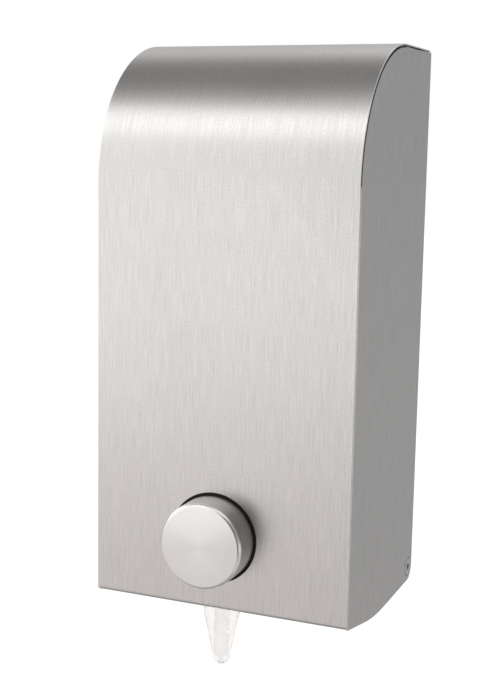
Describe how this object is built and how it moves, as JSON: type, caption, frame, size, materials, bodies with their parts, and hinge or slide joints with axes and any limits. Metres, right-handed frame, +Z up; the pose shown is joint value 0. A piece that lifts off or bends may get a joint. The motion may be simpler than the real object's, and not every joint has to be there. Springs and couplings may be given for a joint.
{
  "type": "wall-mounted liquid soap dispenser",
  "caption": "Wall-mounted brushed-steel liquid soap dispenser with a curved top, a round push button, a downward nozzle and a housing that tilts forward for refilling.",
  "frame": {"origin": "middle of the four wall holes, on the wall plane", "axes": "+X to the right seen from the front, +Y into the wall, +Z up"},
  "size_m": [0.1204, 0.1195, 0.2783],
  "materials": {
    "brushed_steel": "fine upright brush lines",
    "satin_steel": "satin",
    "plain_steel": "mill finish",
    "lock_brass": "nickel plated",
    "white_plastic": "moulded",
    "black_plastic": "moulded",
    "seal_rubber": "matt",
    "tank_plastic": "milky, translucent",
    "clear_silicone": "translucent silicone"
  },
  "bodies": {
    "wall": {"wall_plate": "plain_steel", "pivot_nuts": "plain_steel", "pivot_screws": "satin_steel", "friction_washers": "black_plastic", "lock_strike": "plain_steel", "strike_rivets": "plain_steel"},
    "housing": {"front_wrap": "brushed_steel", "left_side_panel": "brushed_steel", "right_side_panel": "brushed_steel", "stop_pins": "plain_steel", "tank_tray": "plain_steel", "tank": "tank_plastic", "tank_screws": "plain_steel", "outlet_fitting": "white_plastic", "fitting_seal": "seal_rubber", "fitting_nut": "white_plastic", "return_spring": "plain_steel", "button_guide": "black_plastic", "guide_circlip": "plain_steel", "pump_cylinder": "white_plastic", "pump_screws": "plain_steel", "valve_seat": "white_plastic", "inlet_grommet": "seal_rubber", "outlet_manifold": "white_plastic", "manifold_seal": "seal_rubber", "nozzle": "clear_silicone", "nozzle_clamp": "plain_steel", "clamp_screws": "plain_steel", "lock_housing": "satin_steel", "lock_nut": "plain_steel"},
    "button": {"button_cap": "satin_steel", "plunger": "white_plastic", "piston": "white_plastic", "piston_seal": "seal_rubber", "plunger_clip": "plain_steel"},
    "ball": {"valve_ball": "plain_steel"},
    "filler": {"filler_cap": "white_plastic", "filler_seal": "seal_rubber"},
    "lock": {"lock_plug": "lock_brass", "lock_cam": "plain_steel", "cam_screw": "plain_steel"}
  },
  "joints": [
    {"name": "housing_tilt", "type": "hinge", "parent": "wall", "child": "housing", "pos_m": [0, -0.0075, -0.129], "axis": [1, 0, 0], "range_deg": [0, 40]},
    {"name": "button_push", "type": "slide", "parent": "housing", "child": "button", "axis": [0, 1, 0], "range_m": [0, 0.009], "stiffness_N_per_m": 500, "springref_m": -0.008, "deforming": ["return_spring"]},
    {"name": "valve_lift", "type": "slide", "parent": "housing", "child": "ball", "axis": [0, 0, 1], "range_m": [0, 0.002]},
    {"name": "filler_turn", "type": "hinge", "parent": "housing", "child": "filler", "pos_m": [0, -0.0295, 0.04931], "axis": [0, 0.7071, 0.7071], "range_deg": [0, 90]},
    {"name": "lock_turn", "type": "hinge", "parent": "housing", "child": "lock", "pos_m": [0, -0.026, 0.1205], "axis": [0, 0, -1], "range_deg": [0, 90]}
  ]
}
